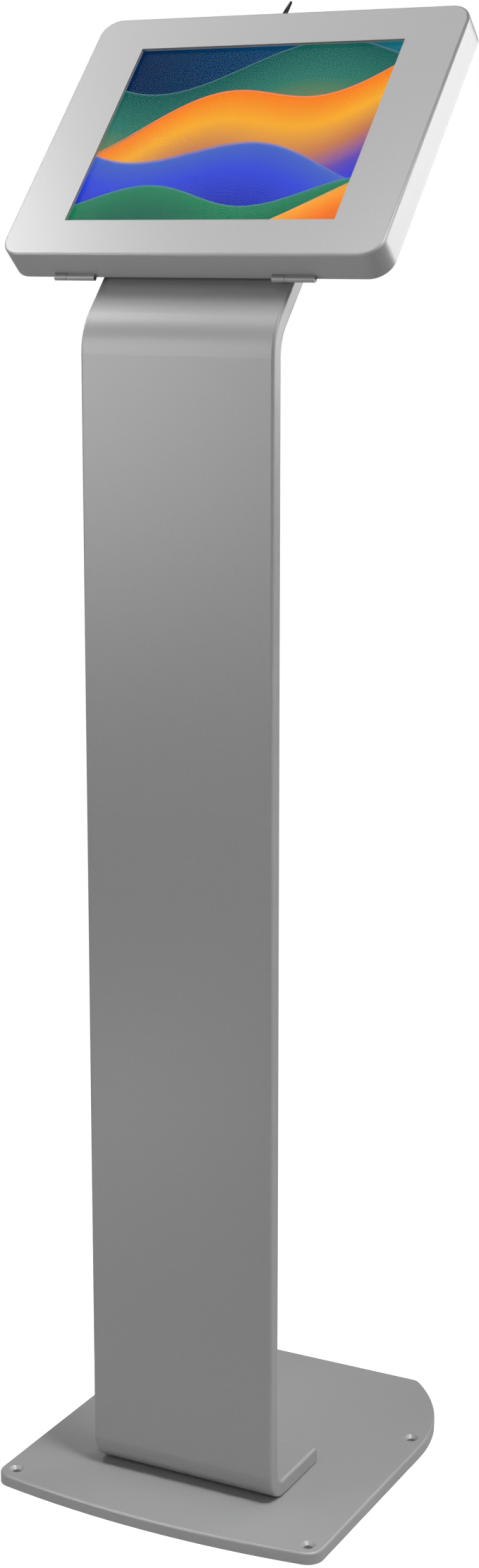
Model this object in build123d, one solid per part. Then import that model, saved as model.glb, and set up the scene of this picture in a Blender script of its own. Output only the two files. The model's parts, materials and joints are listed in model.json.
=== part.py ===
from build123d import *
import os
from math import asin, cos, radians, sin, sqrt, tan

# Tablet security kiosk stand: a steel floor plate, a bent hollow column and a shallow
# enclosure whose front cover swings forward on two small hinges and locks with a cam lock.
# Millimetres, +Z up, front towards -Y. The origin is on the floor, in the middle of the plate.

overrun = 1.0               # how far a cutting tool runs past the face that it cuts
seat_gap = 0.1              # play between pieces that are dropped into each other
thread_gap = 0.05           # play between a screw and the hole that it is screwed into
screw_hole_gap = 0.25       # play round a screw where it only passes through
tilt = 47.6                 # degrees between the screen and the floor
lean = 90 - tilt            # degrees that the neck leans back from upright

# Floor plate
base_width = 267.6
base_depth = 298.4
base_thickness = 9.0
base_front_radius = 790.0   # gentle curve of the front edge
base_tail_width = 172.5     # straight stretch of the back edge, before its corners
base_tail_depth = 105.5     # from the back edge to where the sides curve in
base_corner_radius = 12.7
base_tail_radius = 8.0
base_edge_radius = 2.0
floor_hole_radius = 3.3
floor_sink_radius = 5.7
floor_hole_side_inset = 12.0
floor_hole_front_inset = 22.2
floor_hole_back_inset = 94.5

# Column: one strip in side view, with a foot bent back and a neck bent back
column_setback = 57.0       # from the plate's front edge to the column's front face
column_width = 149.2
column_depth = 12.2
column_height = 844.1       # plate to the line where the neck bend would be sharp
column_edge_radius = 2.0
foot_length = 77.1
foot_bend_radius = 22.0
neck_length = 222.0
neck_bend_radius = 42.0
shell_thickness = 2.0
rear_cover_thickness = 3.0
rear_cover_edge_radius = 2.5

# Rear cover screws and the posts that they go into
post_radius = 4.0
post_side_inset = 13.6
post_height_shares = (0.14, 0.52, 0.9)   # of the column's height
cover_screw_radius = 2.0
cover_screw_head_radius = 3.8
cover_screw_end_gap = 0.6
post_floor = 1.2            # solid end of each post
hex_share = 0.5             # socket's width across corners over the head's width
socket_share = 0.55         # socket's depth over the head's height

# Cable exit low in the rear cover
exit_height = 68.0
exit_length = 44.0
exit_width = 16.0
grommet_wall = 2.4
grommet_lip = 2.0
grommet_lip_thickness = 1.2

# Foot plate inside the foot, and the screws that come up through the floor plate
foot_plate_side_gap = 3.6
foot_plate_end_gap = 2.0
foot_screw_radius = 3.0
foot_screw_head_radius = 6.0
foot_screw_end_gap = 0.6
foot_screw_recess = 0.3
foot_screw_side_inset = 21.0
foot_screw_end_inset = 10.5

# Enclosure: its own frame has x to the right, y up the screen and z out of the screen
tablet_width = 248.0        # the enclosure is sized round the tablet
tablet_height = 184.0
enclosure_side = 22.3       # from the tablet's side to the enclosure's
enclosure_end = 22.2        # from the tablet's upper and lower edge to the enclosure's
enclosure_depth = 23.1
enclosure_corner_radius = 15.5
enclosure_edge_radius = 2.0
window_overlap_x = 9.0      # how far the cover's frame reaches over the display
window_overlap_y = 2.2
sheet = 1.5                 # wall of the cover and of the tray
mount_plate_thickness = 4.5
mount_plate_side_inset = 14.6   # from the column's side to the plates between neck and tray
mount_plate_height = 120.0
mount_plate_corner = 8.0
neck_plate_thickness = 4.0
neck_plate_end_gap = 2.2    # between the neck plate and the closed end of the neck
mount_hole_inset = 10.0
mount_screw_radius = 2.0
mount_screw_head_radius = 3.8
mount_screw_head_height = 2.4
cable_hole_radius = 16.0
cable_slot_width = 24.0     # way for the cable out of the lower edge of the neck plate

# Back tray
tray_gap = 1.0              # all round, inside the cover's walls
tray_flange = 8.0
tray_notch_width = 30.0     # gap in the top flange for the lock

# Hinges: a short fixed knuckle on the tray, a long one on the cover, one pin each
fittings_shift = -7.0       # hinges and lock sit this far from the middle
hinge_length = 32.0
hinge_side_inset = 61.4     # from the enclosure's side to the middle of a hinge
knuckle_radius = 2.1
knuckle_inset = 1.8         # hinge line in front of the enclosure's rear plane
knuckle_foot = 3.2
fixed_knuckle_length = 9.5
knuckle_gap = 0.3
hinge_pin_radius = 0.85
hinge_pin_gap = 0.05
hinge_pin_setback = 3.2     # hollow end of the long knuckle

# Cam lock in the top wall
lock_nut_side_gap = 1.55    # between the nut's flats and the cover's face
lock_nut_wall = 1.5
lock_nut_height = 3.0
barrel_length = 14.5
barrel_wall = 1.55
barrel_flat_cut = 0.8       # two flats keep the barrel from turning in the cover
barrel_flange_lip = 2.0
barrel_flange_thickness = 2.0
barrel_flange_edge = 0.6
plug_gap = 0.05
plug_head_lip = 0.75
plug_head_height = 1.2
plug_recess = 0.3
plug_tail_width = 4.8       # square end that carries the cam
cam_gap = 0.3
cam_thickness = 1.8
cam_end_gap = 0.75          # between the tip of the cam and the tray
cam_width = 6.0
cam_screw_radius = 1.5
cam_screw_length = 3.2
cam_screw_head_radius = 3.4
cam_screw_head_height = 1.6
keyway_wall = 1.85
keyway_thickness = 1.6
keyway_floor = 0.5          # between the keyway and the cam screw's hole
key_gap = 0.1
key_turn = 134.0            # degrees from the x direction to the key's flat
key_rise = 19.1             # top of the bow above the top wall
key_bow_width = 16.0
key_bow_corner = 4.0
key_eye_radius = 4.8
key_stem_width = 9.0
key_notch = 1.4
key_notch_count = 4

# Catch that the cam turns behind
catch_thickness = 1.5
catch_width = 5.6
catch_side_gap = 0.6        # beside the cam's hub
catch_reach = 5.0
catch_lip_gap = 0.8         # in front of the turned cam
catch_base_length = 12.0
catch_base_width = 14.0

# Tablet, whose width and height are given with the enclosure
tablet_thickness = 7.2
tablet_corner_radius = 10.0
tablet_back_radius = 2.5
tablet_wall = 1.2
tablet_front = 3.0          # glass behind the enclosure's face
glass_thickness = 1.0
panel_border_x = 11.0       # from the tablet's edge to the display
panel_border_y = 7.0
panel_thickness = 2.0
battery_width = 150.0
battery_height = 100.0
gasket_width = 8.0
gasket_thickness = 1.2

# Buttons in the tablet's upper edge
button_width = 2.2
button_gap = 0.1
button_proud = 0.5
button_flange = 0.8
button_flange_height = 0.7
button_rest_gap = 0.05
power_button_length = 11.0
power_button_inset = 36.0   # from the tablet's left edge to the middle of the button
volume_button_length = 24.0
volume_button_inset = 66.0

# Corner brackets that hold the tablet
bracket_size = 20.0
bracket_wall = 2.2
bracket_gap = 0.4
bracket_lip = 5.0
bracket_lip_gap = 0.1
bracket_lip_thickness = 1.0
bracket_ledge = 2.0
bracket_base = 2.0
pad_thickness = 2.0
pad_inset = 2.0
bracket_screw_radius = 1.5
bracket_screw_head_radius = 2.8
bracket_screw_head_height = 1.8

# Places worked out from the sizes above
base_front = -base_depth / 2
base_back = base_depth / 2
column_front = base_front + column_setback
column_plane = Plane(origin=(0, column_front, base_thickness), x_dir=(0, 1, 0), z_dir=(1, 0, 0))
floor_hole_span_x = base_width - 2 * floor_hole_side_inset
floor_hole_span_y = base_depth - floor_hole_front_inset - floor_hole_back_inset
shell_back = column_depth - rear_cover_thickness
channel_depth = shell_back - shell_thickness
post_span = column_width - 2 * post_side_inset
cover_screw_length = column_depth - shell_thickness - post_floor - cover_screw_end_gap
foot_plate_front = column_front + foot_bend_radius + seat_gap
foot_plate_back = column_front + foot_length - shell_thickness - foot_plate_end_gap
foot_plate_width = column_width - 2 * (shell_thickness + foot_plate_side_gap)
foot_screw_span_x = foot_plate_width - 2 * foot_screw_side_inset
foot_screw_span_y = foot_plate_back - foot_plate_front - 2 * foot_screw_end_inset
foot_plate_top = base_thickness + shell_back - seat_gap
foot_screw_length = foot_plate_top - foot_screw_recess - foot_screw_end_gap
enclosure_width = tablet_width + 2 * enclosure_side
enclosure_height = tablet_height + 2 * enclosure_end
panel_width = tablet_width - 2 * panel_border_x
panel_height = tablet_height - 2 * panel_border_y
window_width = panel_width - 2 * window_overlap_x
window_height = panel_height - 2 * window_overlap_y
mount_plate_width = column_width - 2 * mount_plate_side_inset
mount_hole_span_x = mount_plate_width - 2 * mount_hole_inset
mount_hole_span_y = mount_plate_height - 2 * mount_hole_inset
enclosure_rise = neck_length - shell_thickness - neck_plate_end_gap - mount_plate_height / 2
up_neck = Vector(0, sin(radians(lean)), cos(radians(lean)))
out_of_screen = Vector(0, -cos(radians(lean)), sin(radians(lean)))
neck_start = Vector(0, column_front, base_thickness + column_height)
face_centre = (
    neck_start
    + up_neck * enclosure_rise
    + out_of_screen * (mount_plate_thickness + enclosure_depth)
)
face_frame = Plane(origin=face_centre, x_dir=(1, 0, 0), z_dir=out_of_screen)
tray_inner = enclosure_depth - sheet
neck_front = enclosure_depth + mount_plate_thickness
top_wall = enclosure_height / 2
hinge_span = enclosure_width - 2 * hinge_side_inset
lock_nut_flats = enclosure_depth - 2 * (sheet + lock_nut_side_gap)
barrel_radius = lock_nut_flats / 2 - lock_nut_wall
barrel_flange_radius = barrel_radius + barrel_flange_lip
plug_radius = barrel_radius - barrel_wall
plug_head_radius = plug_radius + plug_head_lip
plug_top = barrel_flange_thickness - plug_recess
plug_end = -barrel_length - cam_gap
cam_hub_radius = plug_radius
cam_reach = tray_inner - enclosure_depth / 2 - cam_end_gap
keyway_width = 2 * (plug_radius - keyway_wall)
keyway_end = plug_end - cam_thickness + cam_screw_length + keyway_floor
lock_frame = Plane(
    origin=(fittings_shift, top_wall, -enclosure_depth / 2), x_dir=(1, 0, 0), z_dir=(0, 1, 0)
)
hinge_y = -(enclosure_height / 2 + knuckle_radius)
hinge_z = -(enclosure_depth - knuckle_inset)
tablet_back = tablet_front + tablet_thickness
tablet_side = tablet_front + glass_thickness
button_level = -(tablet_side + tablet_back) / 2
power_button_place = -tablet_width / 2 + power_button_inset
volume_button_place = -tablet_width / 2 + volume_button_inset


# Shared shapes


def rod(radius, low, high):
    # upright cylinder between two heights
    return Pos(0, 0, low) * extrude(Circle(radius), amount=high - low)


def slab(width, height, corner, front, back):
    # rounded plate in the enclosure's frame, between two depths behind the face
    return Pos(0, 0, -back) * extrude(RectangleRounded(width, height, corner), amount=back - front)


def block(x_range, y_range, z_range):
    # box between two corners
    size = [high - low for low, high in (x_range, y_range, z_range)]
    middle = [(low + high) / 2 for low, high in (x_range, y_range, z_range)]
    return Pos(*middle) * Box(*size)


def hex_socket(head_radius, depth):
    return Pos(0, 0, -depth) * extrude(
        RegularPolygon(head_radius * hex_share, 6), amount=depth + overrun
    )


def countersunk_screw(radius, length, head_radius):
    # flat head with its top at z = 0, shank downwards
    sink = head_radius - radius
    outline = Polyline(
        (0, 0), (head_radius, 0), (radius, -sink), (radius, -length), (0, -length), close=True
    )
    body = revolve(Plane.XZ * make_face(outline), Axis.Z)
    return body - hex_socket(head_radius, sink * socket_share)


def pan_screw(radius, length, head_radius, head_height):
    # domed head standing on z = 0, shank downwards
    head = rod(head_radius, 0, head_height)
    head = fillet(head.edges().sort_by(Axis.Z)[-1], head_height / 2)
    body = head + rod(radius, -length, 0)
    return body - Pos(0, 0, head_height) * hex_socket(head_radius, head_height * socket_share)


def sink_cut(radius, head_radius, depth):
    # countersunk hole with its mouth at z = 0
    sink = head_radius - radius
    outline = Polyline(
        (0, overrun),
        (head_radius + overrun, overrun),
        (radius, -sink),
        (radius, -depth),
        (0, -depth),
        close=True,
    )
    return revolve(Plane.XZ * make_face(outline), Axis.Z)


def corners(span_x, span_y):
    return [(x * span_x / 2, y * span_y / 2) for x in (-1, 1) for y in (-1, 1)]


def grommet(outer, hole_thickness):
    # rubber ring in a hole: a groove sits on the sheet, a lip on each side holds it
    inner = offset(outer, -grommet_wall)
    lip = offset(outer, grommet_lip)
    neck = extrude(outer, amount=hole_thickness)
    low = Pos(0, 0, -grommet_lip_thickness) * extrude(lip, amount=grommet_lip_thickness)
    high = Pos(0, 0, hole_thickness) * extrude(lip, amount=grommet_lip_thickness)
    hole = extrude(inner, amount=hole_thickness + 2 * grommet_lip_thickness + 2 * overrun)
    return neck + low + high - Pos(0, 0, -grommet_lip_thickness - overrun) * hole


# Floor plate


def floor_holes():
    middle = base_front + floor_hole_front_inset + floor_hole_span_y / 2
    return [(x, middle + y) for x, y in corners(floor_hole_span_x, floor_hole_span_y)]


def foot_screw_places():
    middle = (foot_plate_front + foot_plate_back) / 2
    return [(x, middle + y) for x, y in corners(foot_screw_span_x, foot_screw_span_y)]


def base_outline():
    # bowed front edge, straight sides, then an arc on each side down to the narrower tail
    half = base_width / 2
    sag = base_front_radius - sqrt(base_front_radius**2 - half**2)
    side_front = base_front + sag
    side_back = base_back - base_tail_depth
    narrowing = half - base_tail_width / 2
    radius = (narrowing**2 + base_tail_depth**2) / (2 * narrowing)
    sweep = asin(base_tail_depth / radius)
    bow_x = half - radius * (1 - cos(sweep / 2))
    bow_y = side_back + radius * sin(sweep / 2)
    tail = base_tail_width / 2
    line = ThreePointArc((-half, side_front), (0, base_front), (half, side_front))
    for side in (-1, 1):
        line += Line((side * half, side_front), (side * half, side_back))
        line += ThreePointArc(
            (side * half, side_back), (side * bow_x, bow_y), (side * tail, base_back)
        )
    line += Line((-tail, base_back), (tail, base_back))
    return make_face(line)


def base_plate():
    outline = base_outline()
    ends = outline.vertices().sort_by(Axis.Y)
    outline = fillet(ends[:2], base_corner_radius)
    ends = outline.vertices().sort_by(Axis.Y)
    outline = fillet(ends[-2:], base_tail_radius)
    plate = extrude(outline, amount=base_thickness)
    plate = fillet(plate.faces().sort_by(Axis.Z)[-1].edges(), base_edge_radius)
    for x, y in floor_holes():
        hole = sink_cut(floor_hole_radius, floor_sink_radius, base_thickness + overrun)
        plate -= Pos(x, y, base_thickness) * hole
    hole_radius = foot_screw_radius + screw_hole_gap
    mouth_radius = foot_screw_head_radius + foot_screw_recess + screw_hole_gap
    for x, y in foot_screw_places():
        hole = sink_cut(hole_radius, mouth_radius, base_thickness + overrun)
        plate -= Pos(x, y, 0) * Rot(180, 0, 0) * hole
    return plate


# Column


def column_line(inset, trim=0):
    # side view of the column's front face, moved inwards by inset and shortened by trim
    foot = foot_length - trim
    neck = neck_length - trim
    rise = inset * tan(radians(lean / 2))
    neck_y = neck * sin(radians(lean)) + inset * cos(radians(lean))
    neck_z = neck * cos(radians(lean)) - inset * sin(radians(lean))
    points = (
        (foot, inset),
        (inset, inset),
        (inset, column_height - rise),
        (neck_y, column_height + neck_z),
    )
    return FilletPolyline(*points, radius=[foot_bend_radius - inset, neck_bend_radius - inset])


def strip(near, far, width, trim=0):
    # the column's side view between two insets, given its width
    front = column_line(near, trim)
    back = column_line(far, trim)
    outline = front + back + Line(front @ 0, back @ 0) + Line(front @ 1, back @ 1)
    return extrude(column_plane * make_face(outline), amount=width / 2, both=True)


def edges_along(solid, inset, ends=False):
    # the long edges of a strip at one inset, and its two end edges if asked for
    picked = []
    for side in (-1, 1):
        line = column_plane.offset(side * column_width / 2) * column_line(inset)
        for edge in solid.edges():
            middle = edge @ 0.5
            if line.distance_to(middle) < thread_gap:
                picked.append(edge)
    if ends:
        line = column_line(inset)
        for point in (line @ 0, line @ 1):
            spot = column_plane.from_local_coords(point)
            picked += [e for e in solid.edges() if (e @ 0.5 - spot).length < thread_gap]
    return picked


def neck_bores(radii_places, start, end):
    # holes square to the screen, given as radius, x and y, between two depths
    tools = [
        Pos(x, y, 0) * rod(radius, -end, -start) for radius, x, y in radii_places
    ]
    return [face_frame * tool for tool in tools]


def mount_places(radius):
    return [(radius, x, y) for x, y in corners(mount_hole_span_x, mount_hole_span_y)]


def column_shell():
    shell = strip(0, shell_back, column_width)
    shell = fillet(edges_along(shell, 0), column_edge_radius)
    inner_width = column_width - 2 * shell_thickness
    shell -= strip(shell_thickness, shell_back + overrun, inner_width, trim=shell_thickness)
    holes = mount_places(mount_screw_radius + screw_hole_gap) + [(cable_hole_radius, 0, 0)]
    shell -= neck_bores(holes, neck_front - overrun, neck_front + shell_thickness + overrun)
    for x, y in foot_screw_places():
        hole = rod(foot_screw_radius + screw_hole_gap, -overrun, shell_thickness + overrun)
        shell -= Pos(x, y, base_thickness) * hole
    return shell


def post_frames(inset):
    # frames on the column's centre planes at the posts, z towards the rear
    frames = []
    for share in post_height_shares:
        for side in (-1, 1):
            spot = (
                side * post_span / 2,
                column_front + inset,
                base_thickness + share * column_height,
            )
            frames.append(Plane(origin=spot, x_dir=(1, 0, 0), z_dir=(0, 1, 0)))
    return frames


def column_rear_cover():
    cover = strip(shell_back, column_depth, column_width)
    cover = fillet(edges_along(cover, column_depth, ends=True), rear_cover_edge_radius)
    hole = sink_cut(
        cover_screw_radius + screw_hole_gap,
        cover_screw_head_radius + screw_hole_gap,
        rear_cover_thickness + overrun,
    )
    for frame in post_frames(column_depth):
        cover -= frame * hole
    slot = extrude(SlotOverall(exit_length, exit_width), amount=rear_cover_thickness + overrun, both=True)
    return cover - exit_frame() * slot


def exit_frame():
    spot = (0, column_front + shell_back, base_thickness + exit_height)
    return Plane(origin=spot, x_dir=(1, 0, 0), z_dir=(0, 1, 0))


def exit_grommet():
    outline = SlotOverall(exit_length - 2 * seat_gap, exit_width - 2 * seat_gap)
    return exit_frame() * grommet(outline, rear_cover_thickness)


def cover_posts():
    post = rod(post_radius, 0, channel_depth)
    post -= rod(cover_screw_radius + thread_gap, post_floor, channel_depth + overrun)
    return Compound([frame * post for frame in post_frames(shell_thickness)])


def rear_cover_screws():
    screw = countersunk_screw(cover_screw_radius, cover_screw_length, cover_screw_head_radius)
    return Compound([frame * Pos(0, 0, -seat_gap) * screw for frame in post_frames(column_depth)])


def foot_plate():
    half = foot_plate_width / 2
    floor = base_thickness + shell_thickness
    plate = block((-half, half), (foot_plate_front, foot_plate_back), (floor, foot_plate_top))
    for x, y in foot_screw_places():
        plate -= Pos(x, y, 0) * rod(foot_screw_radius + thread_gap, 0, foot_plate_top + overrun)
    return plate


def foot_screws():
    screw = countersunk_screw(foot_screw_radius, foot_screw_length, foot_screw_head_radius)
    place = Rot(180, 0, 0)
    return Compound([Pos(x, y, foot_screw_recess) * place * screw for x, y in foot_screw_places()])


# Plates between the neck and the enclosure


def clamp_plate(front, back):
    # rounded plate that the mount screws hold, between two depths
    return face_frame * slab(
        mount_plate_width, mount_plate_height, mount_plate_corner, front, back
    )


def mount_plate():
    plate = clamp_plate(enclosure_depth, neck_front)
    cable_radius = cable_hole_radius + grommet_lip + seat_gap
    holes = mount_places(mount_screw_radius + screw_hole_gap) + [(cable_radius, 0, 0)]
    return plate - neck_bores(holes, enclosure_depth - overrun, neck_front + overrun)


def neck_plate():
    front = neck_front + shell_thickness
    back = front + neck_plate_thickness
    plate = clamp_plate(front, back)
    half = cable_slot_width / 2
    low = -mount_plate_height / 2 - overrun
    plate -= face_frame * block((-half, half), (low, 0), (-back - overrun, -front + overrun))
    holes = mount_places(mount_screw_radius + thread_gap) + [(cable_hole_radius, 0, 0)]
    return plate - neck_bores(holes, front - overrun, back + overrun)


def mount_screws():
    length = sheet + mount_plate_thickness + shell_thickness + neck_plate_thickness
    screw = pan_screw(
        mount_screw_radius, length, mount_screw_head_radius, mount_screw_head_height
    )
    return Compound(
        [face_frame * Pos(x, y, -tray_inner) * screw for _, x, y in mount_places(0)]
    )


# Back tray of the enclosure and what is fixed to it


def tray_size(inset=0):
    # width, height and corner of the tray, moved in by inset
    edge = sheet + tray_gap + inset
    return (
        enclosure_width - 2 * edge,
        enclosure_height - 2 * edge,
        enclosure_corner_radius - edge,
    )


def back_tray():
    front = tray_inner - tray_flange
    tray = slab(*tray_size(), front, enclosure_depth)
    tray = fillet(tray.faces().sort_by(Axis.Z)[0].edges(), sheet / 2)
    tray -= slab(*tray_size(sheet), front - overrun, tray_inner)
    notch = (fittings_shift - tray_notch_width / 2, fittings_shift + tray_notch_width / 2)
    tray -= block(notch, (tray_size()[1] / 2 - 2 * sheet, top_wall), (-tray_inner, 0))
    tray = face_frame * tray
    holes = mount_places(mount_screw_radius + screw_hole_gap) + [(cable_hole_radius, 0, 0)]
    holes += [(bracket_screw_radius + thread_gap, x, y) for x, y in bracket_screw_places()]
    return tray - neck_bores(holes, tray_inner - overrun, enclosure_depth + overrun)


def tray_grommet():
    ring = grommet(Circle(cable_hole_radius - seat_gap), sheet)
    return face_frame * Pos(0, 0, -enclosure_depth) * ring


def bracket_places():
    return corners(tablet_width, tablet_height)


def bracket_screw_places():
    half = bracket_size / 2
    return [(x - half * x / abs(x), y - half * y / abs(y)) for x, y in bracket_places()]


def tablet_bracket(side_x, side_y):
    # moulded corner: base, ledge, two walls and a small lip over the glass
    wall = bracket_gap + bracket_wall
    lip_front = tablet_front - bracket_lip_gap - bracket_lip_thickness
    ledge_front = tablet_back + pad_thickness
    reach = (-bracket_size, bracket_gap)
    body = block(reach, reach, (-tray_inner, -tray_inner + bracket_base))
    body += block(reach, reach, (-ledge_front - bracket_ledge, -ledge_front))
    full = (-bracket_size, wall)
    depth = (-tray_inner, -lip_front)
    body += block((bracket_gap, wall), full, depth)
    body += block(full, (bracket_gap, wall), depth)
    lip = (-bracket_lip, bracket_gap)
    body += block(lip, lip, (-lip_front - bracket_lip_thickness, -lip_front))
    half = bracket_size / 2
    hole = rod(bracket_screw_radius + screw_hole_gap, -tray_inner - overrun, -ledge_front + overrun)
    body -= Pos(-half, -half, 0) * hole
    driver = rod(bracket_screw_head_radius + screw_hole_gap, -tray_inner + bracket_base, 0)
    body -= Pos(-half, -half, 0) * driver
    if side_x < 0:
        body = mirror(body, Plane.YZ)
    if side_y < 0:
        body = mirror(body, Plane.XZ)
    corner = Pos(side_x * tablet_width / 2, side_y * tablet_height / 2, 0)
    return face_frame * corner * body


def tablet_pads():
    # foam rings between the tablet's back and the ledges
    size = bracket_size - 2 * pad_inset
    pad = slab(size, size, pad_inset, tablet_back, tablet_back + pad_thickness)
    pad -= rod(bracket_screw_head_radius + screw_hole_gap, -tray_inner, 0)
    return Compound([face_frame * Pos(x, y, 0) * pad for x, y in bracket_screw_places()])


def bracket_screws():
    screw = pan_screw(
        bracket_screw_radius,
        bracket_base + sheet,
        bracket_screw_head_radius,
        bracket_screw_head_height,
    )
    level = -tray_inner + bracket_base
    return Compound([face_frame * Pos(x, y, level) * screw for x, y in bracket_screw_places()])


def lock_catch():
    # strip folded twice: base on the tray, post, and a lip in front of the turned cam
    top = top_wall + plug_end
    band = (top - catch_width, top)
    lip_back = -(enclosure_depth / 2 - cam_width / 2 - catch_lip_gap)
    lip_edge = fittings_shift - cam_hub_radius - catch_side_gap
    post_edge = lip_edge - catch_reach
    outer = post_edge - catch_thickness
    body = block((outer, lip_edge), band, (lip_back, lip_back + catch_thickness))
    body += block((outer, post_edge), band, (-tray_inner, lip_back + catch_thickness))
    base = (outer - catch_base_length, post_edge)
    body += block(base, (top - catch_base_width, top), (-tray_inner, -tray_inner + catch_thickness))
    return face_frame * body


# Tablet


def tablet_glass():
    return face_frame * slab(
        tablet_width, tablet_height, tablet_corner_radius, tablet_front, tablet_side
    )


def button_slot(length, place, play):
    # space for a button in the tablet's upper edge
    half = length / 2 + play
    width = button_width / 2 + play
    top = tablet_height / 2
    return block(
        (place - half, place + half),
        (top - tablet_wall - overrun, top + overrun),
        (button_level - width, button_level + width),
    )


def tablet_housing():
    tub = slab(tablet_width, tablet_height, tablet_corner_radius, tablet_side, tablet_back)
    tub = fillet(tub.faces().sort_by(Axis.Z)[0].edges(), tablet_back_radius)
    tub -= slab(
        tablet_width - 2 * tablet_wall,
        tablet_height - 2 * tablet_wall,
        tablet_corner_radius - tablet_wall,
        tablet_side - overrun,
        tablet_back - tablet_wall,
    )
    tub -= button_slot(power_button_length, power_button_place, button_gap)
    tub -= button_slot(volume_button_length, volume_button_place, button_gap)
    return face_frame * tub


def display_panel():
    return face_frame * slab(
        panel_width, panel_height, panel_thickness, tablet_side, tablet_side + panel_thickness
    )


def tablet_battery():
    front = tablet_side + panel_thickness
    return face_frame * slab(
        battery_width, battery_height, panel_thickness, front, tablet_back - tablet_wall
    )


def tablet_button(length, place):
    # cap through the slot, with a flange inside that keeps it in
    top = tablet_height / 2
    half = length / 2
    width = button_width / 2
    inside = top - tablet_wall - button_rest_gap
    cap = block(
        (place - half, place + half),
        (inside, top + button_proud),
        (button_level - width, button_level + width),
    )
    cap = fillet(cap.faces().sort_by(Axis.Y)[-1].edges(), button_proud / 2)
    half += button_flange
    width += button_flange
    cap += block(
        (place - half, place + half),
        (inside - button_flange_height, inside),
        (button_level - width, button_level + width),
    )
    return face_frame * cap


# Front cover and what moves with it


def hinge_starts():
    # left end of each hinge along x
    return [side * hinge_span / 2 + fittings_shift - hinge_length / 2 for side in (-1, 1)]


def front_cover():
    cover = slab(
        enclosure_width, enclosure_height, enclosure_corner_radius, 0, enclosure_depth
    )
    cover = fillet(cover.faces().sort_by(Axis.Z)[-1].edges(), enclosure_edge_radius)
    cover -= slab(
        enclosure_width - 2 * sheet,
        enclosure_height - 2 * sheet,
        enclosure_corner_radius - sheet,
        sheet,
        enclosure_depth + overrun,
    )
    half_x = window_width / 2
    half_y = window_height / 2
    cover -= block((-half_x, half_x), (-half_y, half_y), (-sheet - overrun, overrun))
    cover -= lock_frame * flatted_rod(-sheet - overrun, overrun, play=seat_gap)
    notch_front = hinge_z + knuckle_foot / 2 + 2 * knuckle_gap
    for start in hinge_starts():
        cover -= block(
            (start - knuckle_gap, start + fixed_knuckle_length + knuckle_gap),
            (-enclosure_height / 2 - overrun, -enclosure_height / 2 + sheet + overrun),
            (-enclosure_depth - overrun, notch_front),
        )
    return face_frame * cover


def window_gasket():
    outer = slab(
        window_width + 2 * gasket_width,
        window_height + 2 * gasket_width,
        gasket_width / 2,
        sheet,
        sheet + gasket_thickness,
    )
    half_x = window_width / 2
    half_y = window_height / 2
    depth = (-sheet - gasket_thickness - overrun, -sheet + overrun)
    return face_frame * (outer - block((-half_x, half_x), (-half_y, half_y), depth))


def knuckle(start, length, foot_top):
    # round knuckle along x with a square foot that reaches up to the height foot_top
    axis_frame = Plane(origin=(start, hinge_y, hinge_z), x_dir=(0, 1, 0), z_dir=(1, 0, 0))
    half = knuckle_foot / 2
    body = axis_frame * rod(knuckle_radius, 0, length)
    body += block(
        (start, start + length), (hinge_y, foot_top), (hinge_z - half, hinge_z + half)
    )
    return body - axis_frame * rod(hinge_pin_radius + hinge_pin_gap, -overrun, length + overrun)


def fixed_knuckle(index):
    return face_frame * knuckle(hinge_starts()[index], fixed_knuckle_length, -tray_size()[1] / 2)


def cover_knuckle(index):
    start = hinge_starts()[index] + fixed_knuckle_length + knuckle_gap
    length = hinge_length - fixed_knuckle_length - knuckle_gap
    return face_frame * knuckle(start, length, -enclosure_height / 2)


def hinge_pin(index):
    start = hinge_starts()[index]
    frame = Plane(origin=(start, hinge_y, hinge_z), x_dir=(0, 1, 0), z_dir=(1, 0, 0))
    pin = rod(hinge_pin_radius, 0, hinge_length - hinge_pin_setback)
    return face_frame * frame * chamfer(pin.edges(), hinge_pin_radius / 3)


# Cam lock and key


def flatted_rod(low, high, play=0):
    # the barrel's section with its two flats, grown by some play
    radius = barrel_radius + play
    half = barrel_radius - barrel_flat_cut + play
    return rod(radius, low, high) & block((-radius, radius), (-half, half), (low, high))


def square_tail(play=0):
    half = plug_tail_width / 2 + play
    return block((-half, half), (-half, half), (plug_end - cam_thickness - play, plug_end + play))


def lock_barrel():
    flange = rod(barrel_flange_radius, 0, barrel_flange_thickness)
    flange = fillet(flange.edges().sort_by(Axis.Z)[-1], barrel_flange_edge)
    body = flange + flatted_rod(-barrel_length, 0)
    body -= rod(plug_radius + plug_gap, -barrel_length - overrun, barrel_flange_thickness + overrun)
    seat = plug_top - plug_head_height - plug_gap
    body -= rod(plug_head_radius + plug_gap, seat, barrel_flange_thickness + overrun)
    return face_frame * lock_frame * body


def lock_nut():
    shape = RegularPolygon(lock_nut_flats / 2, 6, major_radius=False)
    nut = Pos(0, 0, -sheet - lock_nut_height) * extrude(shape, amount=lock_nut_height)
    nut -= rod(barrel_radius + thread_gap, -sheet - lock_nut_height - overrun, 0)
    return face_frame * lock_frame * nut


def lock_plug():
    tail = plug_end - cam_thickness
    plug = rod(plug_radius, plug_end, plug_top)
    plug += rod(plug_head_radius, plug_top - plug_head_height, plug_top)
    plug -= Rot(0, 0, key_turn) * block(
        (-keyway_width / 2, keyway_width / 2),
        (-keyway_thickness / 2, keyway_thickness / 2),
        (keyway_end, plug_top + overrun),
    )
    plug += square_tail()
    plug -= rod(cam_screw_radius + thread_gap, tail - overrun, tail + cam_screw_length)
    return face_frame * lock_frame * plug


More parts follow.
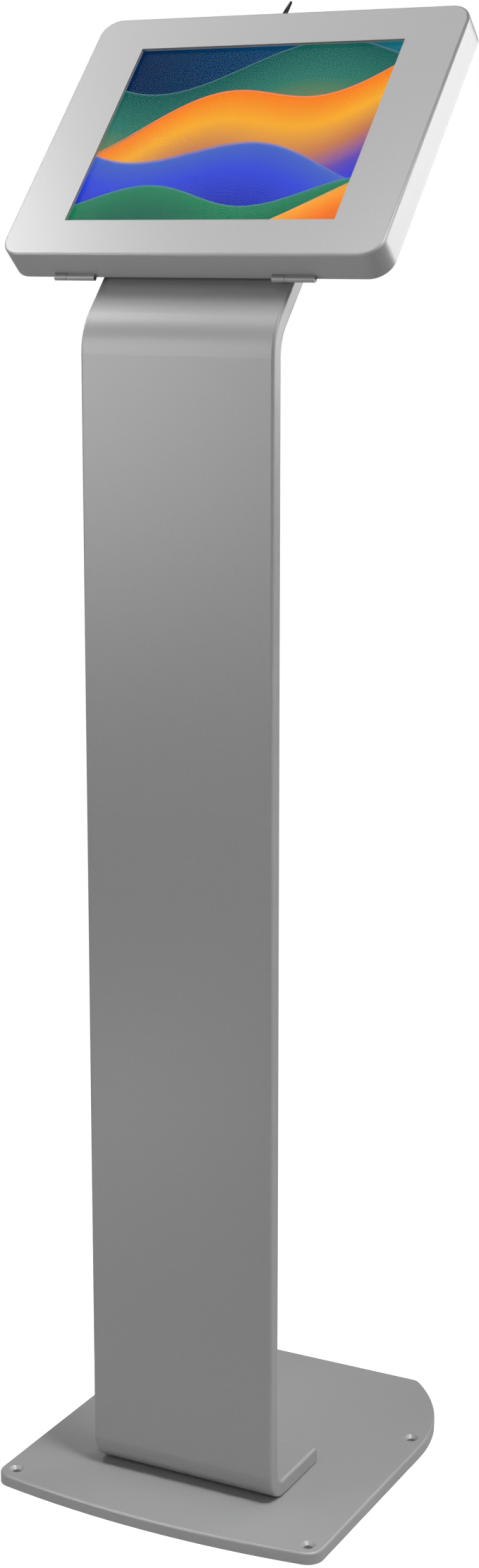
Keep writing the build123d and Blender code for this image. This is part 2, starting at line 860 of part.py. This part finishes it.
def lock_cam():
    low = plug_end - cam_thickness
    cam = rod(cam_hub_radius, low, plug_end)
    half = cam_width / 2
    arm = block((-half, half), (0, cam_reach), (low, plug_end))
    tip = [e for e in arm.edges().filter_by(Axis.Z) if (e @ 0.5).Y > cam_hub_radius]
    cam += fillet(tip, half / 2)
    return face_frame * lock_frame * (cam - square_tail(seat_gap / 2))


def cam_screw():
    screw = pan_screw(
        cam_screw_radius,
        cam_screw_length - seat_gap,
        cam_screw_head_radius,
        cam_screw_head_height,
    )
    low = plug_end - cam_thickness
    return face_frame * lock_frame * Pos(0, 0, low) * Rot(180, 0, 0) * screw


def key_blade(tip, end):
    # flat blade with a pointed tip and a row of notches, in the key's own plane
    half = keyway_width / 2 - key_gap
    blade = make_face(
        Polyline(
            (-half, end), (-half, tip + half), (0, tip), (half, tip + half), (half, end), close=True
        )
    )
    pitch = (plug_top - keyway_end - 2 * half) / key_notch_count
    for index in range(key_notch_count):
        height = tip + half + (index + 0.5) * pitch
        blade -= Pos(half, height) * Rot(0, 0, 45) * Rectangle(key_notch, key_notch)
    return blade


def key():
    # bow with an eye and a stem above the plug, blade inside it
    stem_end = plug_top + key_gap
    bow_middle = key_rise - key_bow_width / 2
    shape = Pos(0, bow_middle) * RectangleRounded(key_bow_width, key_bow_width, key_bow_corner)
    stem = bow_middle - stem_end
    shape += Pos(0, stem_end + stem / 2) * Rectangle(key_stem_width, stem)
    shape += key_blade(keyway_end + 2 * key_gap, bow_middle)
    shape -= Pos(0, bow_middle) * Circle(key_eye_radius)
    thickness = keyway_thickness - 2 * key_gap
    flat = extrude(Plane.XZ * shape, amount=thickness / 2, both=True)
    return face_frame * lock_frame * Rot(0, 0, key_turn) * flat


def write(name, shape):
    export_step(shape, f"parts/{name}.step")


os.makedirs("parts", exist_ok=True)
write("base_plate", base_plate())
write("column_shell", column_shell())
write("column_rear_cover", column_rear_cover())
write("cover_posts", cover_posts())
write("rear_cover_screws", rear_cover_screws())
write("exit_grommet", exit_grommet())
write("foot_plate", foot_plate())
write("foot_screws", foot_screws())
write("mount_plate", mount_plate())
write("neck_plate", neck_plate())
write("mount_screws", mount_screws())
write("back_tray", back_tray())
write("tray_grommet", tray_grommet())
for row, side_y in (("lower", -1), ("upper", 1)):
    for column, side_x in (("left", -1), ("right", 1)):
        write(f"tablet_bracket_{row}_{column}", tablet_bracket(side_x, side_y))
write("tablet_pads", tablet_pads())
write("bracket_screws", bracket_screws())
write("lock_catch", lock_catch())
write("tablet_glass", tablet_glass())
write("tablet_housing", tablet_housing())
write("display_panel", display_panel())
write("tablet_battery", tablet_battery())
write("power_button", tablet_button(power_button_length, power_button_place))
write("volume_button", tablet_button(volume_button_length, volume_button_place))
write("front_cover", front_cover())
write("window_gasket", window_gasket())
for index, side in enumerate(("left", "right")):
    write(f"hinge_fixed_knuckle_{side}", fixed_knuckle(index))
    write(f"hinge_cover_knuckle_{side}", cover_knuckle(index))
    write(f"hinge_pin_{side}", hinge_pin(index))
write("lock_barrel", lock_barrel())
write("lock_nut", lock_nut())
write("lock_plug", lock_plug())
write("lock_cam", lock_cam())
write("cam_screw", cam_screw())
write("key", key())
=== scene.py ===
import json
import math

import bmesh
import bpy
from mathutils import Matrix, Vector


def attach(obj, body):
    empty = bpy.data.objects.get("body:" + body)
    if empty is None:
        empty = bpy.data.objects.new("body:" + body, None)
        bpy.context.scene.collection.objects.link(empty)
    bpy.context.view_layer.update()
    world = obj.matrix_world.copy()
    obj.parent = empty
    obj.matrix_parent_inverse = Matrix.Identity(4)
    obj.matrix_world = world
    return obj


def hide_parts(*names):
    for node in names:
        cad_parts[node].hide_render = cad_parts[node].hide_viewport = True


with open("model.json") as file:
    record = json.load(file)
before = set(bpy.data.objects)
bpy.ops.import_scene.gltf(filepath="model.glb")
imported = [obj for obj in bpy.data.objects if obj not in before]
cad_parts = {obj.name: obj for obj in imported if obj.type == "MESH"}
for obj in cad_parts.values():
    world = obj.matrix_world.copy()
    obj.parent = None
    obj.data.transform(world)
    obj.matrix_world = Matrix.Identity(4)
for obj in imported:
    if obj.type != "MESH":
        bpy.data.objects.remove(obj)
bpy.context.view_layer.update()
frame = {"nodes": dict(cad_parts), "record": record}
nodes = frame["nodes"]
mm = 0.001
quarterTurn = math.pi / 2

# The enclosure's own directions, as the stand is bent: the screen leans back from the user
enclosure = {
    "tiltFromFloor": math.radians(47.6),
    "columnFront": -92.2 * mm,
    "bendHeight": 853.1 * mm,
    "rise": 157.8 * mm,          # up the neck to the middle of the screen
    "faceAboveNeck": 27.6 * mm,
    "windowWidth": 208.0 * mm,
    "windowHeight": 165.6 * mm,
    "sheet": 1.5 * mm,
    "tabletWidth": 248.0 * mm,
    "tabletHeight": 184.0 * mm,
    "glassBack": 4.0 * mm,       # behind the enclosure's face
    "tabletBack": 10.2 * mm,
}
tilt = enclosure["tiltFromFloor"]
acrossScreen = Vector((1, 0, 0))
upScreen = Vector((0, math.cos(tilt), math.sin(tilt)))
outOfScreen = Vector((0, -math.sin(tilt), math.cos(tilt)))
screenCentre = (
    Vector((0, enclosure["columnFront"], enclosure["bendHeight"]))
    + upScreen * enclosure["rise"]
    + outOfScreen * enclosure["faceAboveNeck"]
)
screenFrame = Matrix.Translation(screenCentre) @ Matrix(
    (acrossScreen, upScreen, outOfScreen)
).transposed().to_4x4()


# Materials

def toLinear(hexColour):
    # sRGB hex to the linear colour that the shaders work in
    channels = [int(hexColour[i:i + 2], 16) / 255 for i in (1, 3, 5)]
    return [c / 12.92 if c <= 0.04045 else ((c + 0.055) / 1.055) ** 2.4 for c in channels] + [1]


def addNode(tree, kind, links=(), values=(), stops=(), **settings):
    # one shader node with its settings; links are (own input, other node, its output),
    # values are (own input, value) and stops are (place, hex colour) along a colour ramp
    node = tree.nodes.new(kind)
    for name, value in settings.items():
        if name in node.bl_rna.properties:
            setattr(node, name, value)
        else:
            node.inputs[name.replace("_", " ")].default_value = value
    for ownInput, value in values:
        node.inputs[ownInput].default_value = value
    for ownInput, other, output in links:
        tree.links.new(other.outputs[output], node.inputs[ownInput])
    if stops:
        points = node.color_ramp.elements
        while len(points) < len(stops):
            points.new(0.5)     # each point gets its own place below
        for point, (position, colour) in zip(points, stops):
            point.position = position
            point.color = toLinear(colour)
    return node


def newMaterial(name):
    material = bpy.data.materials.new(name)
    material.use_nodes = True
    tree = material.node_tree
    tree.nodes.clear()
    return material, tree


def finishMaterial(tree, shader):
    addNode(tree, "ShaderNodeOutputMaterial", [("Surface", shader, 0)])


# Die cut closed cell foam: soft, with small open cells at the cut faces
dieCutFoam = {
    "spots": 1.2 * mm,
    "patches": 1 * mm, "roughness": (0.85, 0.95),
    "bumps": 0.6 * mm, "bumpHeight": 0.08 * mm, "bumpStrength": 0.8, "cells": True,
    "shader": {"Sheen_Weight": 0.25},
}

# Every finish: its light and dark shade with the size of the spots between them, the size
# of the patches between its lowest and highest roughness, the size, height and strength
# of its bumps, and what the shader itself takes. Sizes are real ones on the piece.
surfaces = {
    # Polyester powder coat with aluminium flake, sprayed and baked: an even silver
    # grey with a soft broad sheen and a very slight orange peel
    "silverPowderCoat": {
        "light": "#A6A6A6", "dark": "#A1A1A1",
        "spots": 0.9 * mm,      # real flakes are finer; drawn this coarse so that they show
        "patches": 0.9 * mm, "roughness": (0.36, 0.42),
        "bumps": 1.6 * mm, "bumpHeight": 0.012 * mm, "bumpStrength": 0.5,
        "shader": {"Metallic": 0.2},
    },
    # Cold rolled steel, bright zinc plated: cool grey with faint cloudy spangle
    "zincPlatedSteel": {
        "light": "#C9CCCF", "dark": "#AEB2B7",
        "spots": 6 * mm, "spotDetail": 4.0,
        "patches": 4 * mm, "roughness": (0.28, 0.42),
        "bumps": 0.8 * mm, "bumpHeight": 0.01 * mm, "bumpStrength": 0.4,
        "shader": {"Metallic": 0.95},
    },
    # Cold headed stainless screws: bright grey with fine turning marks
    "stainlessSteel": {
        "light": "#B9BABC", "dark": "#9C9EA1",
        "spots": 0.7 * mm,
        "patches": 0.5 * mm, "roughness": (0.22, 0.36),
        "bumps": 0.3 * mm, "bumpHeight": 0.01 * mm, "bumpStrength": 0.5,
        "shader": {"Metallic": 1.0},
    },
    # Lock barrel and plug: die cast or turned, nickel plated, smooth and bright
    "nickelPlatedBrass": {
        "light": "#D8D5CE", "dark": "#C6C3BC",
        "spots": 2 * mm,
        "patches": 1.5 * mm, "roughness": (0.12, 0.22),
        "bumps": 0.6 * mm, "bumpHeight": 0.005 * mm, "bumpStrength": 0.3,
        "shader": {"Metallic": 1.0},
    },
    # Stamped key, black nickel plated: nearly black with a dull metal sheen
    "blackNickelSteel": {
        "light": "#3A3A3C", "dark": "#29292B",
        "spots": 1.5 * mm,
        "patches": 1 * mm, "roughness": (0.3, 0.45),
        "bumps": 0.5 * mm, "bumpHeight": 0.01 * mm, "bumpStrength": 0.4,
        "shader": {"Metallic": 0.7},
    },
    # Grommets of moulded EPDM rubber: matt black with a dry bloom
    "mouldedRubber": {
        "light": "#2A2A2B", "dark": "#1E1E1F",
        "spots": 3 * mm,
        "patches": 2 * mm, "roughness": (0.7, 0.85),
        "bumps": 0.5 * mm, "bumpHeight": 0.02 * mm, "bumpStrength": 0.5,
    },
    # Corner pads, nearly black, and the window gasket, which shows as a pale line
    "blackFoam": {**dieCutFoam, "light": "#3B3B3D", "dark": "#262628"},
    "greyFoam": {**dieCutFoam, "light": "#B2B3B5", "dark": "#A4A5A8"},
    # Corner brackets injection moulded in ABS: black with a fine spark eroded texture
    "texturedAbs": {
        "light": "#2B2B2D", "dark": "#242426",
        "spots": 2 * mm,
        "patches": 0.6 * mm, "roughness": (0.5, 0.62),
        "bumps": 0.35 * mm, "bumpHeight": 0.02 * mm, "bumpStrength": 0.6,
    },
    # Anodised aluminium, bead blasted first: pale grey with a fine even sparkle
    "beadBlastedAluminium": {
        "light": "#C4C5C8", "dark": "#B4B5B8",
        "spots": 0.5 * mm,
        "patches": 0.4 * mm, "roughness": (0.34, 0.46),
        "bumps": 0.25 * mm, "bumpHeight": 0.01 * mm, "bumpStrength": 0.5,
        "shader": {"Metallic": 1.0},
    },
    # Chemically hardened cover glass, polished, with faint smears; its coating against
    # reflections is drawn as a low index
    "coverGlass": {
        "light": "#FFFFFF", "dark": "#FAFCFD",
        "spots": 30 * mm,
        "patches": 25 * mm, "roughness": (0.0, 0.03),
        "shader": {"IOR": 1.1, "Transmission_Weight": 1.0},
    },
    # Heat sealed film round the battery: dark grey, slightly wrinkled
    "batteryWrap": {
        "light": "#3A3B3D", "dark": "#303133",
        "spots": 15 * mm,
        "patches": 10 * mm, "roughness": (0.4, 0.6),
        "bumps": 12 * mm, "bumpHeight": 0.1 * mm, "bumpStrength": 0.4,
    },
    # Black ink printed on the back of the glass round the lit area: smooth, half gloss
    "printedBorder": {
        "light": "#111112", "dark": "#0C0C0D",
        "spots": 10 * mm,
        "patches": 8 * mm, "roughness": (0.28, 0.36),
    },
}
noiseShape = {
    "spotDetail": 3.0,
    "spotRoughness": 0.55,
    "spotRange": (0.35, 0.65),      # noise at which the dark and the light shade are full
    "patchRange": (0.3, 0.7),       # noise at which the roughness is lowest and highest
    "bumpDetail": 2.0,
    "bumpRoughness": 0.5,
}


def surfaceMaterial(name):
    # two close shades, patchy gloss and, where the finish has one, a fine relief
    surface = surfaces[name]
    material, tree = newMaterial(name)
    place = addNode(tree, "ShaderNodeTexCoord")     # in metres, and moves with the piece
    spots = addNode(
        tree, "ShaderNodeTexNoise", [("Vector", place, "Object")],
        Scale=1 / surface["spots"], Roughness=noiseShape["spotRoughness"],
        Detail=surface.get("spotDetail", noiseShape["spotDetail"]),
    )
    darkest, lightest = noiseShape["spotRange"]
    colour = addNode(
        tree, "ShaderNodeValToRGB", [("Fac", spots, 0)],
        stops=[(darkest, surface["dark"]), (lightest, surface["light"])],
    )
    patches = addNode(
        tree, "ShaderNodeTexNoise", [("Vector", place, "Object")], Scale=1 / surface["patches"]
    )
    smoothest, roughest = noiseShape["patchRange"]
    lowRoughness, highRoughness = surface["roughness"]
    rough = addNode(
        tree, "ShaderNodeMapRange", [("Value", patches, 0)],
        From_Min=smoothest, From_Max=roughest, To_Min=lowRoughness, To_Max=highRoughness,
    )
    links = [("Base Color", colour, 0), ("Roughness", rough, 0)]
    if "bumps" in surface:
        if surface.get("cells"):
            relief = addNode(
                tree, "ShaderNodeTexVoronoi", [("Vector", place, "Object")],
                Scale=1 / surface["bumps"],
            )
        else:
            relief = addNode(
                tree, "ShaderNodeTexNoise", [("Vector", place, "Object")],
                Scale=1 / surface["bumps"], Detail=noiseShape["bumpDetail"],
                Roughness=noiseShape["bumpRoughness"],
            )
        bump = addNode(
            tree, "ShaderNodeBump", [("Height", relief, 0)],
            Strength=surface["bumpStrength"], Distance=surface["bumpHeight"],
        )
        links.append(("Normal", bump, 0))
    shader = addNode(tree, "ShaderNodeBsdfPrincipled", links, **surface.get("shader", {}))
    finishMaterial(tree, shader)
    return material


# Generic picture on the display: a row of rolling dunes in evening colours.
# Each dune has a crest line (height, slope, swell, waves across, start of the wave),
# shades from the crest downwards, and how far down the last shade is reached.
duneField = {
    "sky": [(0.0, "#03254F"), (0.55, "#05426A"), (1.0, "#0E6E7C")],
    "dunes": [
        {"crest": (0.40, 0.10, 0.12, 0.9, 0.4), "depth": 0.55,
         "shades": [(0.0, "#0D5A55"), (0.4, "#2F7A6A"), (1.0, "#9A9438")]},
        {"crest": (0.20, 0.42, 0.10, 1.1, 2.6), "depth": 0.62,
         "shades": [(0.0, "#FF7A14"), (0.28, "#FDB02A"), (0.55, "#C77A52"), (0.8, "#5A45B8"),
                    (1.0, "#2438DC")]},
        {"crest": (-0.12, -0.16, 0.09, 1.0, 0.9), "depth": 0.45,
         "shades": [(0.0, "#4468C4"), (0.35, "#2A44DC"), (1.0, "#101C94")]},
        {"crest": (-0.34, 0.05, 0.07, 1.25, 3.6), "depth": 0.3,
         "shades": [(0.0, "#1C8458"), (0.5, "#0F6A50"), (1.0, "#0A4A44")]},
        {"crest": (-0.60, 0.62, 0.05, 0.8, 4.2), "depth": 0.32,
         "shades": [(0.0, "#FFAA28"), (0.4, "#FF7A10"), (1.0, "#F05020")]},
    ],
    "rim": 0.012,               # light line along each crest, as a share of the height
    "rimColour": "#BFD8FF",
    "rimStrength": 0.22,
    "edge": 0.003,
    "glow": 0.94,
    "panel": "#020203",         # the panel itself, under the light it gives
    "panelRoughness": 0.9,
    "panelSpecular": 0.02,
}


# The colour sockets of a Mix node, by number because several share a name
mixSockets = {"factor": 0, "under": 6, "over": 7, "result": 2}


def alongScreen(tree, place, direction, size):
    # place along one direction of the screen, from -0.5 to 0.5 over the window
    dot = addNode(
        tree, "ShaderNodeVectorMath", [(0, place, "Object")], [(1, direction / size)],
        operation="DOT_PRODUCT",
    )
    return addNode(
        tree, "ShaderNodeMath", [(0, dot, "Value")],
        [(1, screenCentre.dot(direction) / size)], operation="SUBTRACT",
    )


def belowCrest(tree, across, up, crest):
    # how far a place lies below a dune's crest line
    height, slope, swell, waves, start = crest
    angle = addNode(
        tree, "ShaderNodeMath", [(0, across, 0)], [(1, waves * math.tau)], operation="MULTIPLY"
    )
    phase = addNode(tree, "ShaderNodeMath", [(0, angle, 0)], [(1, start)], operation="ADD")
    wave = addNode(tree, "ShaderNodeMath", [(0, phase, 0)], operation="SINE")
    ripple = addNode(tree, "ShaderNodeMath", [(0, wave, 0)], [(1, swell)], operation="MULTIPLY")
    lean = addNode(tree, "ShaderNodeMath", [(0, across, 0)], [(1, slope)], operation="MULTIPLY")
    rise = addNode(tree, "ShaderNodeMath", [(0, lean, 0)], [(1, height)], operation="ADD")
    line = addNode(tree, "ShaderNodeMath", [(0, ripple, 0), (1, rise, 0)], operation="ADD")
    return addNode(tree, "ShaderNodeMath", [(0, line, 0), (1, up, 0)], operation="SUBTRACT")


def litDisplay():
    # Back lit display behind the glass
    factor, under, over, result = mixSockets.values()
    material, tree = newMaterial("litDisplay")
    place = addNode(tree, "ShaderNodeTexCoord")
    across = alongScreen(tree, place, acrossScreen, enclosure["windowWidth"])
    up = alongScreen(tree, place, upScreen, enclosure["windowHeight"])
    # the sky runs over the whole width, so it is placed from the window's left edge
    fromLeft = addNode(tree, "ShaderNodeMath", [(0, across, 0)], [(1, 0.5)], operation="ADD")
    sky = addNode(tree, "ShaderNodeValToRGB", [("Fac", fromLeft, 0)], stops=duneField["sky"])
    picture = (sky, "Color")
    for dune in duneField["dunes"]:
        below = belowCrest(tree, across, up, dune["crest"])
        # 0 above the crest, then 1 past its own edge, past the dune's depth and past the rim
        covered, depth, fade = [
            addNode(
                tree, "ShaderNodeMath", [(0, below, 0)], [(1, reach)],
                operation="DIVIDE", use_clamp=True,
            )
            for reach in (duneField["edge"], dune["depth"], duneField["rim"])
        ]
        shades = addNode(tree, "ShaderNodeValToRGB", [("Fac", depth, 0)], stops=dune["shades"])
        dunes = addNode(
            tree, "ShaderNodeMix", [(factor, covered, 0), (under, *picture), (over, shades, 0)],
            data_type="RGBA",
        )
        nearCrest = addNode(
            tree, "ShaderNodeMath", [(1, fade, 0)], [(0, 1.0)], operation="SUBTRACT"
        )
        light = addNode(
            tree, "ShaderNodeMath", [(0, nearCrest, 0), (1, covered, 0)], operation="MULTIPLY"
        )
        rim = addNode(
            tree, "ShaderNodeMath", [(0, light, 0)], [(1, duneField["rimStrength"])],
            operation="MULTIPLY",
        )
        rimmed = addNode(
            tree, "ShaderNodeMix", [(factor, rim, 0), (under, dunes, result)],
            [(over, toLinear(duneField["rimColour"]))], data_type="RGBA",
        )
        picture = (rimmed, result)
    shader = addNode(
        tree, "ShaderNodeBsdfPrincipled", [("Emission Color", *picture)],
        Base_Color=toLinear(duneField["panel"]), Emission_Strength=duneField["glow"],
        Roughness=duneField["panelRoughness"], Specular_IOR_Level=duneField["panelSpecular"],
    )
    finishMaterial(tree, shader)
    return material


materials = {name: surfaceMaterial(name) for name in surfaces}
materials["litDisplay"] = litDisplay()
finishes = {
    "silver_coat": "silverPowderCoat",
    "zinc_steel": "zincPlatedSteel",
    "screw_steel": "stainlessSteel",
    "lock_chrome": "nickelPlatedBrass",
    "key_metal": "blackNickelSteel",
    "rubber": "mouldedRubber",
    "foam": "blackFoam",
    "black_plastic": "texturedAbs",
    "tablet_aluminium": "beadBlastedAluminium",
    "tablet_glass": "coverGlass",
    "screen": "litDisplay",
    "battery": "batteryWrap",
}
for part in frame["record"]["subparts"]:
    slots = nodes[part["node"]].data.materials
    slots.clear()
    slots.append(materials[finishes[part["material_slot"]]])
print("finishes on", len(nodes), "parts")


# Soft pieces and the printed border, which stand for or add to the plain parts

curveSteps = {"corner": 6, "foamEdge": 3}       # straight runs to a quarter turn


def roundedOutline(width, height, corner):
    # points round a rectangle with round corners, counter clockwise
    points = []
    steps = curveSteps["corner"]
    for quarter, (sideX, sideY) in enumerate(((1, 1), (-1, 1), (-1, -1), (1, -1))):
        centre = Vector((sideX * (width / 2 - corner), sideY * (height / 2 - corner)))
        for step in range(steps + 1):
            angle = (quarter + step / steps) * quarterTurn
            points.append(centre + corner * Vector((math.cos(angle), math.sin(angle))))
    return points


def ringMesh(name, outer, inner, profile):
    # closed ring between two outlines; profile lists (share from outer to inner, height)
    mesh = bmesh.new()
    rows = []
    for outerPoint, innerPoint in zip(outer, inner):
        row = []
        for share, height in profile:
            flat = outerPoint.lerp(innerPoint, share)
            row.append(mesh.verts.new(screenFrame @ Vector((flat.x, flat.y, height))))
        rows.append(row)
    for row, following in zip(rows, rows[1:] + rows[:1]):
        for k in range(len(profile)):
            nextK = (k + 1) % len(profile)
            mesh.faces.new((row[k], following[k], following[nextK], row[nextK]))
    bmesh.ops.recalc_face_normals(mesh, faces=mesh.faces)
    data = bpy.data.meshes.new(name)
    mesh.to_mesh(data)
    mesh.free()
    for face in data.polygons:
        face.use_smooth = True
    piece = bpy.data.objects.new(name, data)
    bpy.context.scene.collection.objects.link(piece)
    return piece


def foamSection(width, front, back, edge):
    # (share across the strip, height) round a foam strip with soft edges of the given radius
    section = []
    steps = curveSteps["foamEdge"]
    for quarter, (acrossSide, heightSide) in enumerate(((0, 1), (0, 0), (1, 0), (1, 1))):
        centreAcross = edge if acrossSide == 0 else width - edge
        centreHeight = front - edge if heightSide == 1 else back + edge
        for step in range(steps + 1):
            angle = quarterTurn + (quarter + step / steps) * quarterTurn
            section.append((
                (centreAcross + edge * math.cos(angle)) / width,
                centreHeight + edge * math.sin(angle),
            ))
    return section


gasket = {"width": 8.0 * mm, "thickness": 1.2 * mm, "corner": 4.0 * mm, "edge": 0.4 * mm}


def windowGasket():
    # foam strip behind the window that rests on the tablet's glass
    width, height = enclosure["windowWidth"], enclosure["windowHeight"]
    outer = roundedOutline(
        width + 2 * gasket["width"], height + 2 * gasket["width"], gasket["corner"]
    )
    inner = roundedOutline(width, height, gasket["edge"])
    front = -enclosure["sheet"]
    section = foamSection(gasket["width"], front, front - gasket["thickness"], gasket["edge"])
    piece = ringMesh("foam_gasket", outer, inner, section)
    piece.data.materials.append(materials["greyFoam"])
    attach(piece, "cover")
    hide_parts("window_gasket")


pad = {"size": 16.0 * mm, "hole": 3.05 * mm, "corner": 2.0 * mm, "edge": 0.5 * mm,
       "thickness": 2.0 * mm, "fromCorner": 10.0 * mm}


def cornerPads():
    # four foam pads under the tablet's corners, each with a round hole for its screw
    back = -enclosure["tabletBack"]
    square = roundedOutline(pad["size"], pad["size"], pad["corner"])
    circle = roundedOutline(2 * pad["hole"], 2 * pad["hole"], pad["hole"])
    section = foamSection(
        pad["size"] / 2 - pad["hole"], back, back - pad["thickness"], pad["edge"]
    )
    for index, (sideX, sideY) in enumerate(((-1, -1), (-1, 1), (1, -1), (1, 1))):
        centre = Vector((
            sideX * (enclosure["tabletWidth"] / 2 - pad["fromCorner"]),
            sideY * (enclosure["tabletHeight"] / 2 - pad["fromCorner"]),
        ))
        outer = [centre + point for point in square]
        inner = [centre + point for point in circle]
        piece = ringMesh(f"foam_pad_{index + 1}", outer, inner, section)
        piece.data.materials.append(materials["blackFoam"])
        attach(piece, "stand")
    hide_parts("tablet_pads")


border = {"litWidth": 226.0 * mm, "litHeight": 170.0 * mm, "corner": 9.0 * mm,
          "litCorner": 0.4 * mm, "inset": 1.4 * mm, "thickness": 0.1 * mm}


def glassBorder():
    # printed frame on the back of the glass, between the lit area and the housing
    outer = roundedOutline(
        enclosure["tabletWidth"] - 2 * border["inset"],
        enclosure["tabletHeight"] - 2 * border["inset"],
        border["corner"],
    )
    inner = roundedOutline(border["litWidth"], border["litHeight"], border["litCorner"])
    front = -enclosure["glassBack"]
    back = front - border["thickness"]
    piece = ringMesh("glass_border", outer, inner, [(0, front), (0, back), (1, back), (1, front)])
    piece.data.materials.append(materials["printedBorder"])
    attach(piece, "stand")


windowGasket()
cornerPads()
glassBorder()
print("foam pieces and printed border made")


# Camera, light and floor

camera = {
    "place": (827.6 * mm, -1589.9 * mm, 914.5 * mm),
    "pitch": 78.333,
    "turn": 27.409,
    "lens": 57.5,
    "sensor": 36,
    "shiftX": -0.0016,
    "shiftY": -0.018,
}
cameraData = bpy.data.cameras.new("photoCamera")
cameraData.sensor_width = camera["sensor"]
cameraData.lens = camera["lens"]
cameraData.shift_x = camera["shiftX"]
cameraData.shift_y = camera["shiftY"]
cameraObject = bpy.data.objects.new("photoCamera", cameraData)
cameraObject.location = camera["place"]
cameraObject.rotation_euler = (math.radians(camera["pitch"]), 0, math.radians(camera["turn"]))
bpy.context.scene.collection.objects.link(cameraObject)
bpy.context.scene.camera = cameraObject

# Soft boxes: where each hangs, what it points at, its width and height in metres, its watts,
# and for one behind a grid how wide its light fans out in degrees
softBoxes = {
    "nearLeft": {"place": (-0.55, -0.18, 1.35), "aim": (-0.1, 0, 0.98), "size": (0.35, 0.35),
                 "watts": 2.6},
    "overTop": {"place": (-0.35, -0.1, 1.95), "aim": (0, 0, 0.9), "size": (0.9, 0.9),
                "watts": 5.0},
    "frontLeft": {"place": (-0.9, -1.3, 1.0), "aim": (0, 0, 0.8), "size": (0.6, 1.0),
                  "watts": 8.7},
    "frontLow": {"place": (-0.35, -0.6, 0.1), "aim": (0, -0.09, 0.03), "size": (0.3, 0.15),
                 "watts": 0.18},
    "onFoot": {"place": (0.6, -0.25, 1.5), "aim": (0.03, -0.05, 0), "size": (0.3, 0.3),
               "watts": 0.75, "fan": 40},
    "underFront": {"place": (0, -0.5, 0.3), "aim": (0, -0.2, 0.92), "size": (0.3, 0.2),
                   "watts": 0.09, "fan": 40},
    "rightRear": {"place": (0.7, 1.0, 1.08), "aim": (0.1, 0, 0.95), "size": (0.55, 0.6),
                  "watts": 6},
    "rightSide": {"place": (0.9, -0.05, 1.35), "aim": (0, 0, 0.9), "size": (0.6, 0.6),
                  "watts": 4.4},
    "rightLow": {"place": (0.8, -0.15, 0.3), "aim": (0.07, 0, 0.03), "size": (0.4, 0.3),
                 "watts": 0.7},
}
openFan = 180                   # degrees, for a soft box without a grid
for name, box in softBoxes.items():
    lampData = bpy.data.lights.new(name, "AREA")
    lampData.shape = "RECTANGLE"
    lampData.size, lampData.size_y = box["size"]
    lampData.energy = box["watts"]
    lampData.spread = math.radians(box.get("fan", openFan))
    lamp = bpy.data.objects.new(name, lampData)
    lamp.location = box["place"]
    direction = Vector(box["aim"]) - lamp.location
    lamp.rotation_euler = direction.to_track_quat("-Z", "Y").to_euler()
    bpy.context.scene.collection.objects.link(lamp)

studio = {
    "mirrored": 0.22,           # how bright the room shows in the paint, where white is 1
    "backdrop": "#FFFFFF",
    "worldLight": 0.02,
    "floorSize": 12.0,
    "floorColour": "#B4B4B4",
    "nearLift": 0.84,           # how light the floor shows beside the stand, in its shadow
    "farLift": 1.0,
    "nearRadius": 0.35,
    "farRadius": 1.4,
}


def seenDirectly(tree):
    # 1 for what the camera sees, also through glass, less in a mirror, 0 for light on the object
    path = addNode(tree, "ShaderNodeLightPath")
    mirror = addNode(
        tree, "ShaderNodeMath", [(0, path, "Is Glossy Ray")], [(1, studio["mirrored"])],
        operation="MULTIPLY",
    )
    plain = addNode(
        tree, "ShaderNodeMath", [(0, path, "Is Camera Ray"), (1, path, "Is Transmission Ray")],
        operation="MAXIMUM",
    )
    return addNode(tree, "ShaderNodeMath", [(0, plain, 0), (1, mirror, 0)], operation="MAXIMUM")


world = bpy.data.worlds.new("studio")
world.use_nodes = True
worldTree = world.node_tree
worldTree.nodes.clear()
strength = addNode(
    worldTree, "ShaderNodeMapRange", [("Value", seenDirectly(worldTree), 0)],
    To_Min=studio["worldLight"], To_Max=1.0,
)
backdrop = addNode(
    worldTree, "ShaderNodeBackground", [("Strength", strength, 0)],
    Color=toLinear(studio["backdrop"]),
)
addNode(worldTree, "ShaderNodeOutputWorld", [("Surface", backdrop, 0)])
bpy.context.scene.world = world

floorMaterial, floorTree = newMaterial("paleStudioFloor")
floorPaint = addNode(floorTree, "ShaderNodeBsdfDiffuse", Color=toLinear(studio["floorColour"]))
floorPlace = addNode(floorTree, "ShaderNodeTexCoord")
fromStand = addNode(
    floorTree, "ShaderNodeVectorMath", [(0, floorPlace, "Object")], operation="LENGTH"
)
floorLift = addNode(
    floorTree, "ShaderNodeMapRange", [("Value", fromStand, "Value")],
    From_Min=studio["nearRadius"], From_Max=studio["farRadius"],
    To_Min=studio["nearLift"], To_Max=studio["farLift"],
)
floorGlow = addNode(
    floorTree, "ShaderNodeMath", [(0, seenDirectly(floorTree), 0), (1, floorLift, 0)],
    operation="MULTIPLY",
)
floorLight = addNode(floorTree, "ShaderNodeEmission", [("Strength", floorGlow, 0)])
floorMix = addNode(floorTree, "ShaderNodeAddShader", [(0, floorPaint, 0), (1, floorLight, 0)])
finishMaterial(floorTree, floorMix)
floorMesh = bpy.data.meshes.new("studioFloor")
half = studio["floorSize"] / 2
floorMesh.from_pydata(
    [(-half, -half, 0), (half, -half, 0), (half, half, 0), (-half, half, 0)], [], [(0, 1, 2, 3)]
)
floorMesh.materials.append(floorMaterial)
studioFloor = bpy.data.objects.new("studioFloor", floorMesh)
bpy.context.scene.collection.objects.link(studioFloor)
bpy.context.scene.view_settings.view_transform = "Standard"
print("camera, light and floor set")
